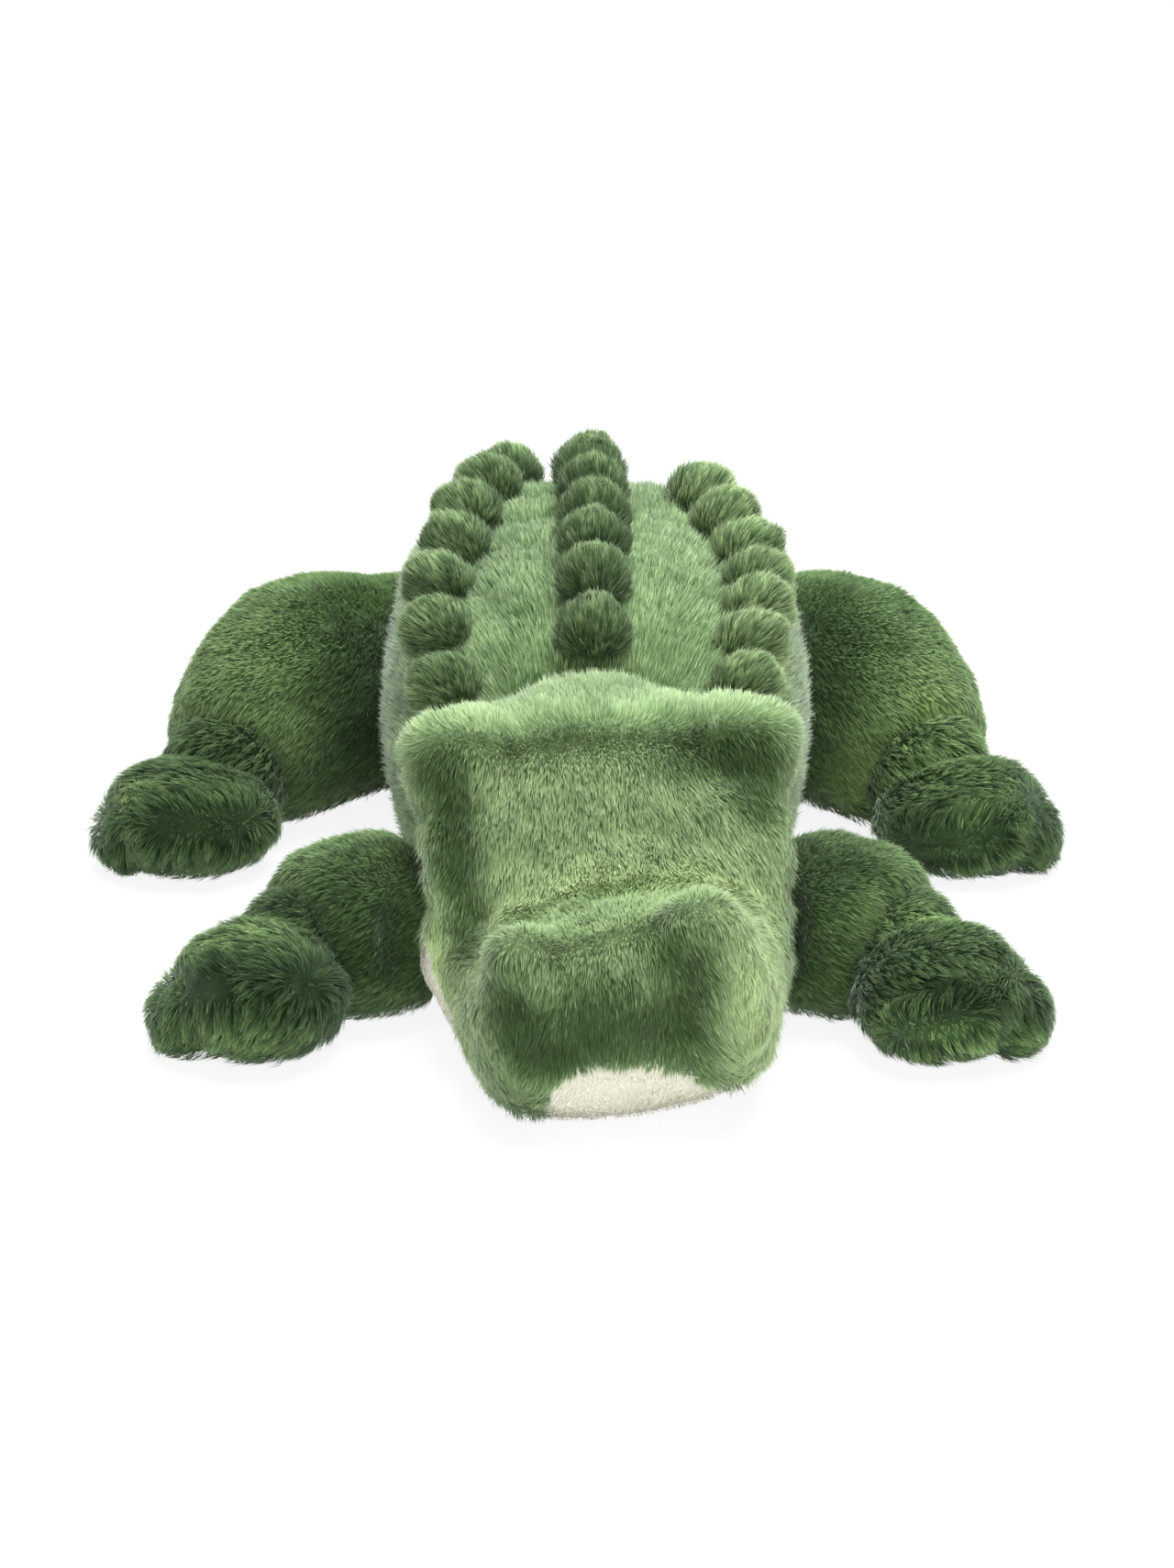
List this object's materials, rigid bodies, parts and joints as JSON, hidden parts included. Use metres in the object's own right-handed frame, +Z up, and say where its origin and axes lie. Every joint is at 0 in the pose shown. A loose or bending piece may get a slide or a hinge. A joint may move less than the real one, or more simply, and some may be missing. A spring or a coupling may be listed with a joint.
{
  "type": "plush crocodile",
  "caption": "Stuffed crocodile lying on its belly, with a broad head, spread padded legs, tapering tail and padded tufts in rows down the back; neck, legs and tail bend at their seams.",
  "frame": {"origin": "on the floor under the middle of the torso, on the flat of the belly cloth", "axes": "+Z up, head towards -Y, tail towards +Y, the animal's own left side on +X"},
  "size_m": [0.323, 0.4609, 0.1208],
  "materials": {
    "plush": "dense mid-green plush pile with lighter yellow-green tips",
    "long_plush": "longer, darker green plush pile",
    "cream_plush": "short cream plush pile",
    "stuffing": "fluffy fibre filling",
    "pellet_pouch": "thin woven bag over plastic pellets",
    "eye": "glossy black",
    "washer": "plain moulded plastic"
  },
  "bodies": {
    "torso": {"back_panel": "plush", "belly_panel": "cream_plush", "body_stuffing": "stuffing", "pellet_pouch": "pellet_pouch", "tuft_centre_1": "long_plush", "tuft_centre_2": "long_plush", "tuft_centre_3": "long_plush", "tuft_centre_4": "long_plush", "tuft_centre_5": "long_plush", "tuft_centre_6": "long_plush", "tuft_centre_7": "long_plush", "tuft_left_1": "long_plush", "tuft_left_2": "long_plush", "tuft_left_3": "long_plush", "tuft_left_4": "long_plush", "tuft_left_5": "long_plush", "tuft_left_6": "long_plush", "tuft_left_7": "long_plush", "tuft_right_1": "long_plush", "tuft_right_2": "long_plush", "tuft_right_3": "long_plush", "tuft_right_4": "long_plush", "tuft_right_5": "long_plush", "tuft_right_6": "long_plush", "tuft_right_7": "long_plush"},
    "neck": {"neck_stuffing": "stuffing"},
    "head": {"head_cap": "plush", "jaw_panel": "cream_plush", "head_stuffing": "stuffing", "eye_bump_left": "plush", "eye_bump_right": "plush", "eye_left": "eye", "eye_right": "eye", "eye_washer_left": "washer", "eye_washer_right": "washer", "nostril_left": "plush", "nostril_right": "plush"},
    "arm_left": {"arm_left": "plush"},
    "paw_left": {"paw_left": "long_plush"},
    "arm_right": {"arm_right": "plush"},
    "paw_right": {"paw_right": "long_plush"},
    "thigh_left": {"thigh_left": "plush"},
    "foot_left": {"foot_left": "long_plush"},
    "thigh_right": {"thigh_right": "plush"},
    "foot_right": {"foot_right": "long_plush"},
    "tail_base": {"tail_base": "plush", "tuft_tail_1": "long_plush", "tuft_tail_2": "long_plush"},
    "tail_tip": {"tail_tip": "plush", "tuft_tail_3": "long_plush", "tuft_tail_4": "long_plush"}
  },
  "joints": [
    {"name": "neck_turn", "type": "hinge", "parent": "torso", "child": "neck", "pos_m": [0.002, -0.082, 0.053], "axis": [0, 0, 1], "range_deg": [-12, 4]},
    {"name": "head_nod", "type": "hinge", "parent": "neck", "child": "head", "pos_m": [0.002, -0.082, 0.053], "axis": [-0.9945, -0.1045, 0], "range_deg": [0, 15]},
    {"name": "arm_left_swing", "type": "hinge", "parent": "torso", "child": "arm_left", "pos_m": [0.058, -0.102, 0.022], "axis": [0, 0, 1], "range_deg": [-2, 25]},
    {"name": "paw_left_flex", "type": "hinge", "parent": "arm_left", "child": "paw_left", "pos_m": [0.1, -0.122, 0.0215], "axis": [-0.8858, -0.464, 0], "range_deg": [0, 18]},
    {"name": "arm_right_swing", "type": "hinge", "parent": "torso", "child": "arm_right", "pos_m": [-0.05, -0.102, 0.022], "axis": [0, 0, -1], "range_deg": [-2, 25]},
    {"name": "paw_right_flex", "type": "hinge", "parent": "arm_right", "child": "paw_right", "pos_m": [-0.092, -0.122, 0.0215], "axis": [-0.8858, 0.464, 0], "range_deg": [0, 18]},
    {"name": "thigh_left_swing", "type": "hinge", "parent": "torso", "child": "thigh_left", "pos_m": [0.06073, 0.06, 0.034], "axis": [0, 0, 1], "range_deg": [-3, 20]},
    {"name": "foot_left_flex", "type": "hinge", "parent": "thigh_left", "child": "foot_left", "pos_m": [0.11573, 0.001, 0.023], "axis": [-0.8762, -0.4819, 0], "range_deg": [0, 18]},
    {"name": "thigh_right_swing", "type": "hinge", "parent": "torso", "child": "thigh_right", "pos_m": [-0.06727, 0.06, 0.034], "axis": [0, 0, -1], "range_deg": [-3, 20]},
    {"name": "foot_right_flex", "type": "hinge", "parent": "thigh_right", "child": "foot_right", "pos_m": [-0.12227, 0.001, 0.023], "axis": [-0.8762, 0.4819, 0], "range_deg": [0, 18]},
    {"name": "tail_swing", "type": "hinge", "parent": "torso", "child": "tail_base", "pos_m": [-0.0037, 0.111, 0.04], "axis": [0, 0, 1], "range_deg": [-20, 20]},
    {"name": "tail_tip_swing", "type": "hinge", "parent": "tail_base", "child": "tail_tip", "pos_m": [-0.0077, 0.186, 0.0165], "axis": [0, 0, 1], "range_deg": [-20, 20]}
  ]
}
